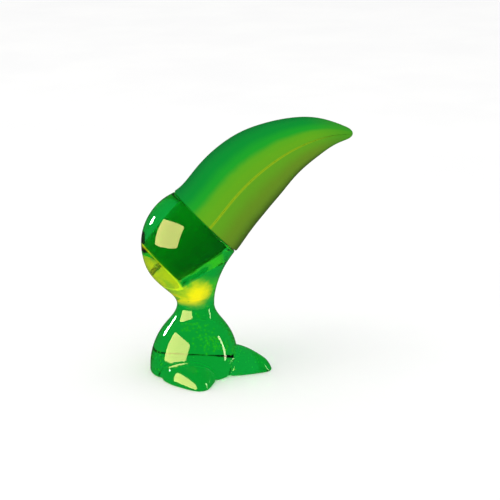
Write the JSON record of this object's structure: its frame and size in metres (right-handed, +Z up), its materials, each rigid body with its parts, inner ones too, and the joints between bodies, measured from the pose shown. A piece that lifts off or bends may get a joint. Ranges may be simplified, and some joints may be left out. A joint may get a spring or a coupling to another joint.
{
  "type": "toucan desk figure",
  "caption": "Toucan desk figure: solid clear green casting of feet, belly and head, with an oversized satin green beak whose tapered root pulls out of the head.",
  "frame": {"origin": "on the floor plane under the sole, at the axis of the belly and neck", "axes": "+Z up; +X the way the beak points, whose curved spine lies in the plane Y = 0; the two feet point about 24 and 83 degrees from +X towards -Y"},
  "size_m": [0.0849, 0.0445, 0.1008],
  "materials": {
    "clear_green": "solid cast clear plastic tinted yellow-green, polished, with small air bubbles",
    "steel": "plain steel",
    "beak_green": "satin moulded plastic, deep green crest fading to lime",
    "beak_lime": "satin moulded plastic, lime to olive green",
    "root_green": "satin moulded plastic, dark green",
    "nickel": "nickel-plated magnet"
  },
  "bodies": {
    "stand": {"body_casting": "clear_green", "keeper_disc": "steel", "keeper_screw": "steel"},
    "beak": {"upper_mandible": "beak_green", "lower_mandible": "beak_lime", "root_plug": "root_green", "magnet": "nickel"}
  },
  "joints": [
    {"name": "beak_pull", "type": "slide", "parent": "stand", "child": "beak", "axis": [0.7193, 0, 0.6947], "range_m": [0, 0.045]}
  ]
}
